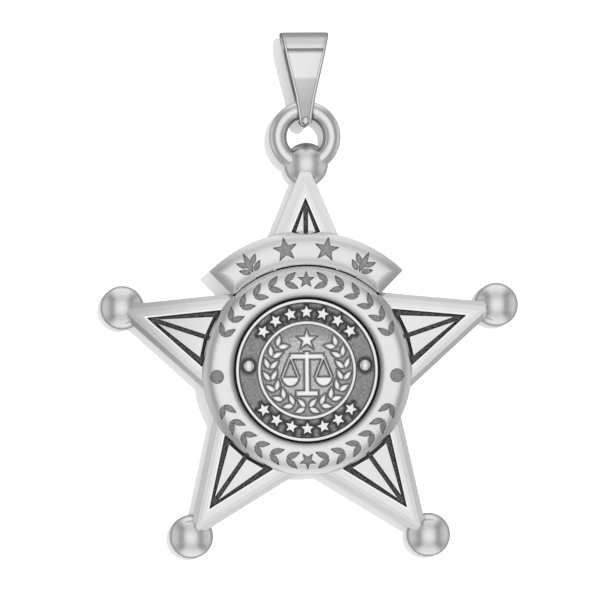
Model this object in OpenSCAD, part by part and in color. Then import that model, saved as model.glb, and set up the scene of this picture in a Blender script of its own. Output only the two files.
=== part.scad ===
// Five-pointed star badge worn as a pendant, with ball tips, a curved banner,
// a round medallion and seal in the middle, a hanging ring and a tapered bail.
// It lies on its back: X runs to the right, Y up towards the bail, Z out of the face.
// The origin is the star's centre on its flat back. Lengths are millimetres.

/* [Star plate] */
// Distance from the centre to where the two edges of an arm meet
tip_reach = 12.6; // [11.5:0.1:14]
// Length that the blunt end takes off the point of an arm
tip_cut = 0.72; // [0.5:0.01:0.9]
// Distance from the centre to the corner between two arms
notch_reach = 5.8; // [5.2:0.1:6.2]
// Breadth of the star as a share of its height
star_breadth = 0.97; // [0.92:0.01:1.05]
// Height of the upright side wall
side_height = 1.5; // [1.2:0.05:2]
// Width of the steep bevel along the edge
bevel_width = 0.28; // [0.2:0.01:0.4]
// Rise of the steep bevel
bevel_rise = 0.35; // [0.2:0.01:0.5]
// Width of the bevel and the gentle slope above it together
slope_width = 0.58; // [0.5:0.01:0.62]
// Rise of the gentle slope
slope_rise = 0.06; // [0.03:0.01:0.12]
// Width of the whole border, from the outline to the groove
border_width = 0.92; // [0.75:0.01:1.1]
// Shift of the two lowest arms' grooves and panels, up from the lowest edges
lower_shift = 0.1; // [0:0.01:0.15]
// Depth of the flat seat under the medallion, the seal and the banner
seat_depth = 0.51; // [0.4:0.01:0.7]

/* [Arm panels] */
// Width of the groove between the two panels of an arm
groove_width = 0.27; // [0.15:0.01:0.35]
// Angle by which the outer grooves, half as wide at the arm's point, open towards the medallion
groove_flare = 3.3; // [0:0.1:5]
// Depth of the grooves
groove_depth = 0.25; // [0.1:0.01:0.4]
// Distance from the medallion's edge to the inner ends of the panels
panel_margin = 0.17; // [0.1:0.01:0.6]

/* [Ball tips] */
// Radius of a ball
ball_radius = 1.3; // [1:0.05:1.6]
// How far the point of an arm would run past the middle of its ball
ball_inset = 0.33; // [0.2:0.01:0.5]
// Height of the balls' middles above the back
ball_height = 0.64; // [0.4:0.02:0.8]

/* [Medallion] */
// Outer radius of the round medallion band
medallion_radius = 6.23; // [5.9:0.01:6.8]
// Thickness of the band
medallion_thickness = 1.1; // [0.95:0.05:1.3]
// Width of the rounded outer shoulder
outer_shoulder = 0.93; // [0.7:0.01:0.95]
// Radius of the outer shoulder's curve
outer_round = 1.03; // [1:0.01:1.3]
// Width of the rounded inner shoulder
inner_shoulder = 0.45; // [0.3:0.01:0.5]
// Radius of the inner shoulder's curve
inner_round = 0.55; // [0.52:0.01:0.8]
// Depth of the sunken leaves
leaf_depth = 0.1; // [0.05:0.01:0.15]
// Pairs of leaves in each quarter of the band
leaf_pairs = 6; // [4:1:6]
// Radius of the two dots at the sides
dot_radius = 0.4; // [0.2:0.02:0.5]
// How far the garlands and the dots sit outside the middle of the band
garland_shift = 0.1; // [0:0.01:0.15]
// Angle of the dots below the middle
dot_drop = 3.7; // [0:0.1:6]

/* [Seal] */
// Outer radius of the seal
seal_radius = 4.2; // [3.9:0.05:4.6]
// Thickness of the seal at its rim
rim_thickness = 1.25; // [1.05:0.01:1.4]
// Width of the seal's rim
rim_width = 0.19; // [0.12:0.01:0.3]
// Depth of the ground below the rim
ground_depth = 0.22; // [0.1:0.01:0.35]
// Outer radius of the inner ring
inner_ring_radius = 2.91; // [2.6:0.01:3.1]
// Width of the inner ring
inner_ring_width = 0.17; // [0.1:0.01:0.3]
// Rise of the raised relief above its ground
relief_rise = 0.14; // [0.08:0.01:0.16]
// Raised stars in each of the two rows
row_count = 7; // [5:1:8]
// Half of the breadth of the two beads
bead_half = 0.36; // [0.25:0.01:0.42]
// Height of the beads above the ground
bead_height = 0.25; // [0.15:0.01:0.25]
// Angle of the beads above the middle
bead_rise = 4.6; // [0:0.1:8]

/* [Banner] */
// Radial width of the curved banner
banner_width = 1.97; // [1.7:0.01:2.3]
// Half of the angle that the banner spans
banner_half_angle = 44.3; // [40:0.1:48]
// Thickness of the banner
banner_thickness = 1.15; // [0.95:0.01:1.3]
// Width of the face's fall to the outer edge
outer_fall_width = 1.05; // [0.8:0.01:1.2]
// Depth of that fall
outer_fall = 0.58; // [0.3:0.01:0.65]
// Width of the face's fall to the inner edge
inner_fall_width = 0.62; // [0.4:0.01:0.7]
// Depth of that fall
inner_fall = 0.27; // [0.15:0.01:0.4]
// Width of the face's fall to the two ends
end_fall_width = 0.8; // [0.5:0.01:1]
// Depth of that fall
end_fall = 0.36; // [0.2:0.01:0.5]
// Depth of the ornaments below the middle of the face
ornament_depth = 0.2; // [0.08:0.01:0.25]

/* [Hanging ring] */
// Radius of the ring's wire
wire_radius = 0.515; // [0.4:0.005:0.55]
// Radius of the ring, to the middle of its wire
ring_radius = 1.61; // [1.5:0.01:1.9]
// Distance of the wire's lowest middle above the middle of the ball, along the badge
ring_seat = 0.02; // [0:0.01:0.2]
// Height of the ring above the middle of the ball
ring_lift = 0.42; // [0.3:0.01:0.5]

/* [Bail] */
// Distance from the ring's wire up to the middle of the chain loop
bail_length = 3.58; // [3.2:0.02:4.4]
// Outer radius of the chain loop
loop_radius = 1.04; // [0.98:0.01:1.2]
// Thickness of the bail's strip
strip_thickness = 0.28; // [0.2:0.01:0.32]
// Half of the bail's width at the top of the loop
bail_top_half = 1.45; // [1.1:0.01:1.6]
// Half of the bail's width where it goes round the wire
bail_foot_half = 0.43; // [0.41:0.005:0.5]
// Radius of the bail's rounded tip
bail_tip_radius = 0.39; // [0.25:0.01:0.4]
// Turn of the bail about its own long axis
bail_turn = 3; // [0:0.5:6]
// Radius of the small bead that closes the bail's tip
closing_bead = 0.24; // [0.15:0.01:0.28]
// Side of the square notch that makes the crease under the loop
crease_size = 0.07; // [0.04:0.01:0.1]

/* [Fits] */
// Gap between pieces that sit beside each other
fit_gap = 0.04; // [0.02:0.01:0.06]
// Gap between the seal and the medallion round it
seal_gap = 0.1; // [0.04:0.01:0.14]
// Space left round the wire inside the bail
swing_gap = 0.13; // [0.13:0.01:0.18]
// Height of the bail above the surface under the badge
floor_gap = 0.02; // [0.01:0.01:0.1]

/* [Hidden] */
$fn = 64;
fine = 128;
arms = 5;
top_angle = 90;
half_turn = 180;
// Extra length of every cut, past the surface that it opens
over = 0.5;

bevel_height = side_height + bevel_rise;
plate_height = bevel_height + slope_rise;
seat_height = plate_height - seat_depth;
groove_floor = plate_height - groove_depth;
panel_start = medallion_radius + panel_margin;

// The cast balls sit a little to the right of their even places, from the top one anticlockwise
ball_shifts = [0.06, 0.3, 0, 0.18, 0.03];
ball_reach = tip_reach - ball_inset;
ring_y = ball_reach + ring_seat + ring_radius;
ring_z = ball_height + ring_lift;
pivot_y = ring_y + ring_radius;

medallion_inner = seal_radius + seal_gap;
medallion_top = seat_height + medallion_thickness;
flat_start = medallion_inner + inner_shoulder;
flat_end = medallion_radius - outer_shoulder;
band_width = medallion_radius - medallion_inner;

// Leaves of the garlands: size as shares of the band, spread and angles from the top
garland_reach = medallion_inner + band_width / 2 + garland_shift;
leaf_length = band_width * 0.435;
leaf_width = band_width * 0.176;
leaf_spread = 32;
garland_first = 9;
garland_last = 63;
middle_star = band_width * 0.26;

rim_top = seat_height + rim_thickness;
seal_ground = rim_top - ground_depth;
ground_outer = seal_radius - rim_width;
row_reach = (inner_ring_radius + ground_outer) / 2;
row_star = (ground_outer - inner_ring_radius) * 0.42;
row_star_inner = 0.46;
row_spread = 48;
bead_radius = (pow(bead_half, 2) + pow(bead_height, 2)) / (2 * bead_height);
centre_radius = inner_ring_radius - inner_ring_width;
centre_ground = seal_ground - fit_gap;

// The wreath and the balance inside it, as shares of the seal's centre
wreath_reach = centre_radius * 0.8;
wreath_leaf = centre_radius * 0.26;
wreath_leaf_width = centre_radius * 0.12;
wreath_pairs = 8;
wreath_first = -78;
wreath_step = 18;
balance_half = centre_radius * 0.055;
balance_top = centre_radius * 0.4;
balance_foot = -centre_radius * 0.5;
balance_base = centre_radius * 0.24;
beam_y = centre_radius * 0.3;
beam_half = centre_radius * 0.36;
pan_y = -centre_radius * 0.16;
pan_half = centre_radius * 0.18;
top_star_y = centre_radius * 0.66;
top_star = centre_radius * 0.22;

banner_inner = medallion_radius + fit_gap;
banner_radius = banner_inner + banner_width;
banner_middle = (banner_radius + banner_inner) / 2;
banner_top = seat_height + banner_thickness;
// Rounding of the face towards its edges: shares of the width and of the depth of a fall
fall_steps = [[0, 1], [0.2, 0.52], [0.37, 0.27], [0.54, 0.12], [0.66, 0.06], [1, 0]];
banner_star = banner_width * 0.37;
banner_star_angle = 9.7;
sprig_height = banner_width * 0.64;
sprig_angle = 28.3;

wire_space = wire_radius + swing_gap;
foot_depth = wire_space + strip_thickness;
foot_wall = strip_thickness * 1.45;
tip_y = -wire_space - foot_wall;
straight_y = bail_length * 0.53;
bail_middle_half = (bail_foot_half + bail_top_half) / 2;
bail_depth = loop_radius * cos(bail_turn) + bail_middle_half * sin(bail_turn);
bail_lift = asin(max(0, bail_depth + floor_gap - ring_z) / straight_y);
// Front outline of the bail from the tip up: share of its height, share of its widening
bail_widths = [[0.13, 0], [0.34, 0.19], [0.72, 0.68], [1.06, 1.06]];

// Points and straight lines in the plane

function unit(v) = v / norm(v);
function left_of(v) = [-v[1], v[0]];
function around(r, a) = [r * cos(a), r * sin(a)];
function turned(v, a) = [v[0] * cos(a) - v[1] * sin(a), v[0] * sin(a) + v[1] * cos(a)];
// Where the line through p along d meets the line through q along e
function meet(p, d, q, e) = p + d * (cross(q - p, e) / cross(d, e));
// The point at distance r from the origin on the line through p along the unit vector d
function at_radius(p, d, r) =
    let (along = p * d)
    p + d * (sqrt(along * along - p * p + r * r) - along);

// Outline of the star: corner 2i is where the edges of arm i meet, corner 2i + 1 the notch after it

function star_corner(i) =
    let (r = i % 2 == 0 ? tip_reach : notch_reach)
    let (p = around(r, top_angle + i * half_turn / arms))
    [p[0] * star_breadth, p[1]];
function edge_dir(i) = unit(star_corner(i + 1) - star_corner(i));
// How far the groove beside an edge is moved in: counted in edges from the foot of the star
function groove_shift(i) =
    let (from_foot = abs(i % (2 * arms) - arms + 0.5))
    from_foot < 1 ? lower_shift : from_foot < 2 ? -lower_shift / 2 : 0;
function edge_inset(i, inset) = inset + (inset > slope_width ? groove_shift(i) : 0);
function edge_start(i, inset) = star_corner(i) + left_of(edge_dir(i)) * edge_inset(i, inset);
function inset_corner(i, inset) =
    meet(edge_start(i - 1, inset), edge_dir(i - 1), edge_start(i, inset), edge_dir(i));
// The middle of the blunt end of an arm, and its two corners
function blunt_end(i) = star_corner(i) * (1 - tip_cut / tip_reach);
function blunt_corners(i) = [for (edge = [i - 1, i])
    meet(star_corner(i), edge_dir(edge), blunt_end(i), left_of(unit(star_corner(i))))];
function ball_place(i) =
    let (p = around(ball_reach, top_angle + i * 2 * half_turn / arms))
    [p[0] * star_breadth + ball_shifts[i], p[1], ball_height];

// What the bevel and the slope take off above an edge
module edge_section() {
    polygon([
        [-over, side_height - over * bevel_rise / bevel_width],
        [bevel_width, bevel_height],
        [slope_width, plate_height],
        [slope_width, plate_height + over],
        [-over, plate_height + over]
    ]);
}

// Cut along edge i, from the point of the arm to the notch
module edge_cut(i) {
    from_tip = i % 2 == 0;
    tip = star_corner(from_tip ? i : i + 1);
    notch = star_corner(from_tip ? i + 1 : i);
    dir = unit(notch - tip);
    translate([tip[0], tip[1], 0])
        rotate([0, 0, atan2(dir[1], dir[0])])
            mirror([0, from_tip ? 0 : 1, 0])
                translate([-over, 0, 0])
                    rotate([90, 0, 90])
                        linear_extrude(norm(notch - tip) + over)
                            edge_section();
}

// The same cut along the blunt end of an arm
module end_cut(i) {
    end = blunt_end(i);
    translate([end[0], end[1], 0])
        rotate([0, 0, atan2(end[1], end[0])])
            mirror([1, 0, 0])
                rotate([90, 0, 0])
                    linear_extrude(2 * border_width, center = true)
                        edge_section();
}

// One flat half of an arm's panel, on the side given by +1 or -1
module half_panel(arm, side) {
    tip = 2 * (arm + arms);
    corner = inset_corner(tip, border_width + groove_width / 2);
    outward = unit(star_corner(tip));
    edge = turned(side > 0 ? edge_dir(tip) : -edge_dir(tip - 1), side * groove_flare);
    beside = corner + left_of(outward) * (side * groove_width / 2);
    polygon([
        meet(corner, edge, beside, outward),
        at_radius(corner, -edge, panel_start),
        at_radius(beside, outward, panel_start)
    ]);
}

// The sunken groove round and between the two halves of an arm's panel
module arm_groove(arm) {
    tip = 2 * (arm + arms);
    difference() {
        polygon([for (i = [tip, tip + 1, tip - 1]) inset_corner(i, border_width)]);
        for (side = [-1, 1]) half_panel(arm, side);
    }
}

module bevelled_plate() {
    difference() {
        linear_extrude(plate_height)
            polygon([for (arm = [0 : arms - 1])
                each concat(blunt_corners(2 * arm), [star_corner(2 * arm + 1)])]);
        for (i = [0 : 2 * arms - 1]) edge_cut(i);
        for (arm = [0 : arms - 1]) end_cut(2 * arm);
        for (arm = [0 : arms - 1])
            translate([0, 0, groove_floor])
                linear_extrude(groove_depth + over)
                    arm_groove(arm);
    }
}

// Room for the medallion, and for the banner over the top arm
module seat_cut() {
    translate([0, 0, seat_height])
        cylinder(h = seat_depth + over, r = medallion_radius + fit_gap);
    translate([0, 0, seat_height])
        rotate([0, 0, top_angle - banner_half_angle])
            rotate_extrude(angle = 2 * banner_half_angle)
                translate([medallion_radius - over, 0])
                    square([banner_radius + fit_gap - medallion_radius + over, seat_depth + over]);
}

// The star: a bevelled plate with grooved arms and a ball on every point
module star() {
    color("gainsboro")
    difference() {
        union() {
            bevelled_plate();
            for (i = [0 : arms - 1])
                translate(ball_place(i)) sphere(ball_radius);
        }
        translate([-2 * tip_reach, -2 * tip_reach, -2 * ball_radius])
            cube([4 * tip_reach, 4 * tip_reach, 2 * ball_radius]);
        seat_cut();
        ring_shape(wire_radius + fit_gap);
    }
}

// Small flat shapes for the relief

// One long side of a leaf: widest before its middle, drawn out to a point
function leaf_side(length, width, sign, steps = 4) =
    [for (i = [1 : steps - 1])
        let (t = i / steps)
        [t * length, sign * width / 2 * sin(half_turn * pow(t, 0.8))]];

module leaf(length, width) {
    near = leaf_side(length, width, -1);
    far = leaf_side(length, width, 1);
    polygon(concat(
        [[0, 0]],
        near,
        [[length, 0]],
        [for (i = [len(far) - 1 : -1 : 0]) far[i]]
    ));
}

module five_point(radius, inner_share = 0.42) {
    polygon([for (i = [0 : 2 * arms - 1])
        around(i % 2 == 0 ? radius : radius * inner_share, top_angle + i * half_turn / arms)]);
}

// Two leaves that spread from one point of the stem, growing along X
module leaf_pair(length, width, spread) {
    for (side = [-1, 1])
        translate([0, side * width * 0.12])
            rotate(side * spread)
                leaf(length, width);
}

// Section of the medallion's band: flat in the middle, with a rounded shoulder on each side
module band_section() {
    difference() {
        translate([medallion_inner, seat_height]) square([band_width, medallion_thickness]);
        difference() {
            translate([flat_end, medallion_top - outer_round]) square(outer_round + over);
            translate([flat_end, medallion_top - outer_round]) circle(outer_round);
        }
        difference() {
            translate([flat_start - inner_round - over, medallion_top - inner_round])
                square(inner_round + over);
            translate([flat_start, medallion_top - inner_round]) circle(inner_round);
        }
    }
}

// Leaf pairs from the side up towards the middle, in the upper right quarter
module garland_quarter() {
    step = (garland_last - garland_first) / (leaf_pairs - 1);
    for (i = [0 : leaf_pairs - 1])
        rotate(top_angle - garland_last + i * step)
            translate([garland_reach, -leaf_length / 2])
                rotate(top_angle)
                    leaf_pair(leaf_length, leaf_width, leaf_spread);
}

module garlands() {
    for (lower = [0, 1])
        mirror([0, lower, 0]) {
            translate([0, garland_reach]) five_point(middle_star);
            for (left = [0, 1]) mirror([left, 0, 0]) garland_quarter();
        }
    for (side = [-1, 1])
        translate([side * garland_reach * cos(dot_drop), -garland_reach * sin(dot_drop)])
            circle(dot_radius);
}

// The medallion: a round band with garlands sunk in it
module medallion() {
    color("silver")
    difference() {
        rotate_extrude($fn = fine) band_section();
        translate([0, 0, medallion_top - leaf_depth])
            linear_extrude(leaf_depth + over) garlands();
    }
}

// Section of the seal: a rim, a ground, an inner ring and the centre's ground
module seal_section() {
    rim_slope = rim_width / 4;
    ring_slope = inner_ring_width / 4;
    ring_top = seal_ground + relief_rise;
    polygon([
        [0, seat_height],
        [seal_radius, seat_height],
        [seal_radius, rim_top - rim_slope],
        [seal_radius - rim_slope, rim_top],
        [ground_outer + rim_slope, rim_top],
        [ground_outer, seal_ground],
        [inner_ring_radius, seal_ground],
        [inner_ring_radius - ring_slope, ring_top],
        [centre_radius + ring_slope, ring_top],
        [centre_radius, centre_ground],
        [0, centre_ground]
    ]);
}

// A row of raised stars that follows the rim, about the given angle
module star_row(middle) {
    for (i = [0 : row_count - 1])
        rotate(middle - row_spread + i * 2 * row_spread / (row_count - 1))
            translate([row_reach, 0])
                rotate(-middle)
                    five_point(row_star, row_star_inner);
}

// A wreath of two branches that rise from the foot and leave the top open
module wreath() {
    for (left = [0, 1])
        mirror([left, 0, 0])
            for (i = [0 : wreath_pairs - 1])
                rotate(wreath_first + i * wreath_step)
                    translate([wreath_reach, 0])
                        rotate(top_angle)
                            leaf_pair(wreath_leaf, wreath_leaf_width, leaf_spread);
}

// A balance: a post on a foot, and a beam with two pans
module balance() {
    translate([-balance_half, balance_foot])
        square([2 * balance_half, balance_top - balance_foot]);
    translate([-balance_base, balance_foot - balance_half])
        square([2 * balance_base, 2 * balance_half]);
    translate([-beam_half, beam_y - balance_half])
        square([2 * beam_half, 2 * balance_half]);
    for (side = [-1, 1])
        translate([side * beam_half, 0]) {
            polygon([[0, beam_y], [-pan_half, pan_y], [pan_half, pan_y]]);
            intersection() {
                translate([0, pan_y]) circle(pan_half);
                translate([-pan_half, pan_y - pan_half]) square([2 * pan_half, pan_half]);
            }
        }
}

// The seal: two raised rings with rows of stars between them, a wreath and a balance
module seal() {
    color("lightgray")
    union() {
        rotate_extrude($fn = fine) seal_section();
        translate([0, 0, centre_ground])
            linear_extrude(seal_ground + relief_rise - centre_ground) {
                star_row(top_angle);
                star_row(-top_angle);
            }
        for (side = [-1, 1])
            translate([
                side * row_reach * cos(bead_rise),
                row_reach * sin(bead_rise),
                seal_ground + bead_height - bead_radius
            ])
                sphere(bead_radius);
        translate([0, 0, centre_ground - fit_gap])
            linear_extrude(relief_rise + fit_gap) {
                wreath();
                balance();
                translate([0, top_star_y]) five_point(top_star);
            }
    }
}

// Section of the banner, rounded down to both curved edges
module banner_section() {
    outer = [for (s = fall_steps)
        [banner_radius - s[0] * outer_fall_width, banner_top - s[1] * outer_fall]];
    inner = [for (s = fall_steps)
        [banner_inner + s[0] * inner_fall_width, banner_top - s[1] * inner_fall]];
    polygon(concat(
        [[banner_inner, seat_height], [banner_radius, seat_height]],
        outer,
        [for (i = [len(inner) - 1 : -1 : 0]) inner[i]]
    ));
}

// What the rounding takes off at the banner's right end
module banner_end_cut() {
    steps = [for (s = fall_steps) [s[0] * end_fall_width, banner_top - s[1] * end_fall]];
    rotate([0, 0, top_angle - banner_half_angle])
        rotate([90, 0, 90])
            linear_extrude(banner_radius + over)
                polygon(concat(
                    [[-over, banner_top + over], [-over, banner_top - end_fall]],
                    steps,
                    [[end_fall_width, banner_top + over]]
                ));
}

// A sprig of five leaves, drawn about the middle of its height
module sprig() {
    translate([0, -sprig_height / 2])
        rotate(top_angle) leaf(sprig_height, sprig_height * 0.28);
    for (side = [-1, 1], level = [0, 1])
        translate([side * sprig_height * 0.12, sprig_height * (level * 0.32 - 0.48)])
            rotate(top_angle - side * (52 - level * 8))
                leaf(sprig_height * 0.54, sprig_height * 0.24);
}

module banner_ornaments() {
    for (side = [-1, 1]) {
        rotate(side * banner_star_angle)
            translate([0, banner_middle]) five_point(banner_star);
        rotate(side * sprig_angle)
            translate([0, banner_middle]) sprig();
    }
}

// The banner: a curved plate rounded off all round, with ornaments sunk in its face
module banner() {
    color("whitesmoke")
    difference() {
        rotate([0, 0, top_angle - banner_half_angle])
            rotate_extrude(angle = 2 * banner_half_angle, $fn = fine)
                banner_section();
        banner_end_cut();
        mirror([1, 0, 0]) banner_end_cut();
        translate([0, 0, banner_top - ornament_depth])
            linear_extrude(ornament_depth + over) banner_ornaments();
    }
}

// Round wire bent to the hanging ring, which goes through the top ball
module ring_shape(wire) {
    translate([0, ring_y, ring_z])
        rotate_extrude()
            translate([ring_radius, 0])
                circle(wire);
}

module hanging_ring() {
    color("silver") ring_shape(wire_radius);
}

// The bail, drawn with the wire's middle at the origin and its loop up along Y

// Closed side outline of the folded strip, drawn along X, pulled in by inset
module bail_side(inset) {
    corner = strip_thickness * 1.5 - inset / 2;
    lean = (loop_radius - foot_depth) / straight_y;
    corner_y = tip_y + inset + corner;
    low_half = loop_radius - lean * (straight_y - corner_y) - inset;
    high_half = loop_radius - inset;
    translate([bail_length, 0]) circle(high_half);
    polygon([
        [bail_length, high_half],
        [straight_y, high_half],
        [corner_y, low_half],
        [corner_y, -low_half],
        [straight_y, -high_half],
        [bail_length, -high_half]
    ]);
    translate([tip_y + inset, corner - low_half])
        square([2 * corner, 2 * (low_half - corner)]);
    for (side = [-1, 1])
        translate([corner_y, side * (low_half - corner)]) circle(corner);
}

// Front outline: a round tip that widens up to the loop
module bail_front() {
    height = bail_length + loop_radius - tip_y;
    widening = bail_top_half - bail_foot_half;
    right = [for (w = bail_widths) [bail_foot_half + w[1] * widening, tip_y + w[0] * height]];
    round_y = tip_y + bail_tip_radius;
    translate([0, round_y]) circle(bail_tip_radius);
    polygon(concat(
        [[-bail_tip_radius, round_y], [bail_tip_radius, round_y]],
        right,
        [for (i = [len(right) - 1 : -1 : 0]) [-right[i][0], right[i][1]]]
    ));
}

module bail() {
    color("silver")
    translate([0, pivot_y, ring_z])
        rotate([bail_lift, 0, 0])
            rotate([0, bail_turn, 0]) {
                intersection() {
                    rotate([90, 0, 90])
                        linear_extrude(4 * bail_top_half, center = true)
                            difference() {
                                bail_side(0);
                                bail_side(strip_thickness);
                                translate([bail_length, loop_radius])
                                    rotate(half_turn / 4)
                                        square(crease_size, center = true);
                            }
                    linear_extrude(4 * loop_radius, center = true) bail_front();
                }
                translate([0, tip_y + bail_tip_radius, foot_depth - closing_bead * 0.6])
                    sphere(closing_bead);
            }
}

star();
banner();
medallion();
seal();
hanging_ring();
bail();
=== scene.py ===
import math

import bmesh
import bpy
import numpy as np
from mathutils import Matrix, Vector


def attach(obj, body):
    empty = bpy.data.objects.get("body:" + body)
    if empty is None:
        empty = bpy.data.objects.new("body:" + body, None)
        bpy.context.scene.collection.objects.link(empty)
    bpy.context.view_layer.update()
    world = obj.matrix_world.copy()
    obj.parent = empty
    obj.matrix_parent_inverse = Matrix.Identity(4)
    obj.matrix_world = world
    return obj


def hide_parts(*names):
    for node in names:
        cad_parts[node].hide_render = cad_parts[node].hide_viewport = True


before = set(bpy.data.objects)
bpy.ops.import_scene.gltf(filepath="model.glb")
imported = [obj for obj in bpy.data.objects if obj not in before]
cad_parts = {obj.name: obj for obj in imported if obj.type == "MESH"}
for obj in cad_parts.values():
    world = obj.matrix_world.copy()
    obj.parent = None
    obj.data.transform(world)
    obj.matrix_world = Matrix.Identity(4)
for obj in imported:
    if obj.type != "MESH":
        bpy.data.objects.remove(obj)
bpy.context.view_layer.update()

# The meshes are worked out in millimetres, in the frame of the CAD model, and stored in metres.
MM = 0.001

# Star plate
ARMS = 5
TIP_REACH = 12.6
TIP_END = 11.88
NOTCH_REACH = 5.8
STAR_BREADTH = 0.97
SIDE_TOP = 1.5
# Worn bevels: how much higher or lower their feet lie, by edge, counted anticlockwise from the top
# arm's left edge
WORN_BEVELS = {0: 0.32, 1: 0.15, 2: -0.15, 7: -0.15, 8: 0.15, 9: 0.32}
BEVEL_WIDTH = 0.28
BEVEL_TOP = 1.85
SLOPE_WIDTH = 0.58
BORDER_WIDTH = 0.92
# Shift of the two lowest arms' grooves and panels, up from the lowest edges
LOWER_SHIFT = 0.1
# Width of the brighter rims beside the grooves, a painted highlight
HIGHLIGHT_RIM = 0.11
PLATE_TOP = 1.91
SEAT_Z = 1.4
GROOVE_WIDTH = 0.27
# Angle by which the outer grooves, half as wide at the arm's point, open towards the medallion
GROOVE_FLARE = 3.3
GROOVE_FLOOR = 1.66
PANEL_START = 6.4
# Width and height of the chamfer round the back
BACK_CHAMFER = 0.08
# How far the panels' walls go below the grooves' floor
PANEL_SINK = 0.02
# Rounding of the plate's sharp edges
EDGE_SOFTENING = 0.028
# A cloud of painted shade over the left arm: its middle, reach and strength
LEFT_ARM_SHADE_CLOUD = ((-11.4, 3.7, 1.8), 6.9, 0.35)
# Ball tips
BALL_REACH = 12.27
# How far each cast ball sits to the right of its even place, from the top one anticlockwise
BALL_SHIFTS = (0.06, 0.3, 0.0, 0.18, 0.03)
BALL_RADIUS = 1.3
BALL_Z = 0.64
# The top ball's painted shade inside the ring: where it starts and is full, up from the ball's middle,
# and how far it curves down to the sides
BALL_RING_SHADE = (1.0, 1.09)
BALL_RING_SHADE_CURVE = 0.12
# The frosted part of the top ball: where it starts and is full, up from the ball's middle
BALL_FROST = (0.4, 1.0)
# Medallion band
BAND_IN = 4.3
BAND_OUT = 6.23
BAND_TOP = 2.5
OUTER_SHOULDER = 0.93
OUTER_ROUND = 1.03
INNER_SHOULDER = 0.45
INNER_ROUND = 0.55
GARLAND_REACH = 5.36
# The garlands' pairs of leaves: how many to a quarter, the first one's angle and the step to the next
LEAF_PAIRS = 6
LEAVES_START = 27.0
LEAVES_STEP = 10.8
LEAF_SPREAD = 32
LEAF_SINK = 0.1
LEAF_LENGTH = 0.84
LEAF_WIDTH = 0.34
BAND_STAR = 0.5
DOT_RADIUS = 0.4
# Degrees by which the dots lie below the level of the middle
DOT_DROP = 3.7
# Seal
SEAL_OUT = 4.2
RIM_TOP = 2.65
RIM_WIDTH = 0.19
SEAL_GROUND = 2.43
RING_OUT = 2.91
RING_WIDTH = 0.17
RELIEF = 0.14
# Rounding of the rims' upper edges
RIM_ROUND = 0.04
# The rows of stars round the seal: how many to a row and the step between them
ROW_COUNT = 7
ROW_STEP = 16
BEAD_HALF = 0.36
BEAD_HEIGHT = 0.25
# Degrees by which the beads lie above the level of the middle
BEAD_RISE = 4.6
CENTRE_OUT = RING_OUT - RING_WIDTH
CENTRE_GROUND = 2.39
ROW_REACH = (RING_OUT + SEAL_OUT - RIM_WIDTH) / 2
# Banner
BANNER_IN = 6.27
BANNER_OUT = 8.24
BANNER_MIDDLE = (BANNER_IN + BANNER_OUT) / 2
BANNER_TOP = 2.55
BANNER_HALF = math.radians(44.3)
BANNER_SINK = 0.12
# Degrees from the middle to the banner's stars and sprigs, and their sizes
BANNER_STARS = 9.7
BANNER_SPRIGS = 28.3
BANNER_STAR = (BANNER_OUT - BANNER_IN) * 0.37
SPRIG_HEIGHT = (BANNER_OUT - BANNER_IN) * 0.64
# Roundings of the banner's outer edge, inner edge and ends: distance in from the edge, steepness in degrees
BANNER_OUTER = ((0, 60), (0.21, 46), (0.39, 32), (0.57, 19.5), (0.69, 11.5), (1.05, 0))
BANNER_INNER = ((0, 46), (0.12, 36), (0.3, 24), (0.42, 13), (0.5, 8), (0.62, 0))
BANNER_ENDS = ((0, 37), (0.3, 30), (0.48, 24.5), (0.6, 16), (0.72, 6), (0.8, 0))
# Hanging ring
RING_Y = 13.9
RING_Z = 1.06
RING_RADIUS = 1.61
WIRE_RADIUS = 0.515
# The fine line round the wire, a shallow groove painted dark as a painted reflection: its place and spread in
# degrees up from the outside, and its depth
LINE_PLACE = 62
LINE_SPREAD = 4.0
LINE_DEPTH = 0.02
# Bail
PIVOT = (0.0, 15.51, 1.06)
BAIL_LENGTH = 3.58
LOOP_RADIUS = 1.04
STRIP = 0.28
BAIL_TURN = 3.0
BAIL_LIFT = 1.444
BAIL_FOOT_HALF = 0.43
BAIL_TOP_HALF = 1.45
BAIL_TIP_RADIUS = 0.39
# The strip's half widths: how far up the bail, and how much of the widening is reached there, as shares
BAIL_WIDTHS = ((0.13, 0), (0.34, 0.19), (0.72, 0.68), (1.06, 1.06))
FOOT_DEPTH = 0.925
FOOT_END = -1.051
# Where the strip's straight part begins to lean in towards the foot
BAIL_BEND = BAIL_LENGTH * 0.53
# How far the strip's face sinks at the crease under the loop
CREASE_SINK = 0.03
# How much further the back leg reaches to each side
BACK_EXTRA = 0.04
BEAD_RADIUS = 0.24
# Camera, straight above the badge, rolled by a half degree
CAMERA_PLACE = (-0.378, 4.168, 200.0)
CAMERA_ROLL = -0.5


# Building meshes

def new_object(name, vertices, faces, smooth=True, materials=()):
    mesh = bpy.data.meshes.new(name)
    mesh.from_pydata((np.asarray(vertices, float) * MM).tolist(), [], faces)
    mesh.validate()
    if smooth:
        mesh.shade_smooth()
    obj = bpy.data.objects.new(name, mesh)
    bpy.context.scene.collection.objects.link(obj)
    for material in materials:
        mesh.materials.append(material)
    return obj


def set_attribute(obj, name, values):
    attribute = obj.data.attributes.new(name, "FLOAT", "POINT")
    attribute.data.foreach_set("value", np.asarray(values, np.float32).ravel())


def grid_faces(rows, columns, wrap_rows=False, wrap_columns=False):
    """Quads between neighbouring points of a grid, numbered row by row."""
    r = np.arange(rows if wrap_rows else rows - 1)
    c = np.arange(columns if wrap_columns else columns - 1)
    r, c = np.meshgrid(r, c, indexing="ij")
    r2, c2 = (r + 1) % rows, (c + 1) % columns
    quads = np.stack([r * columns + c, r * columns + c2, r2 * columns + c2, r2 * columns + c], -1)
    return quads.reshape(-1, 4)


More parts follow.
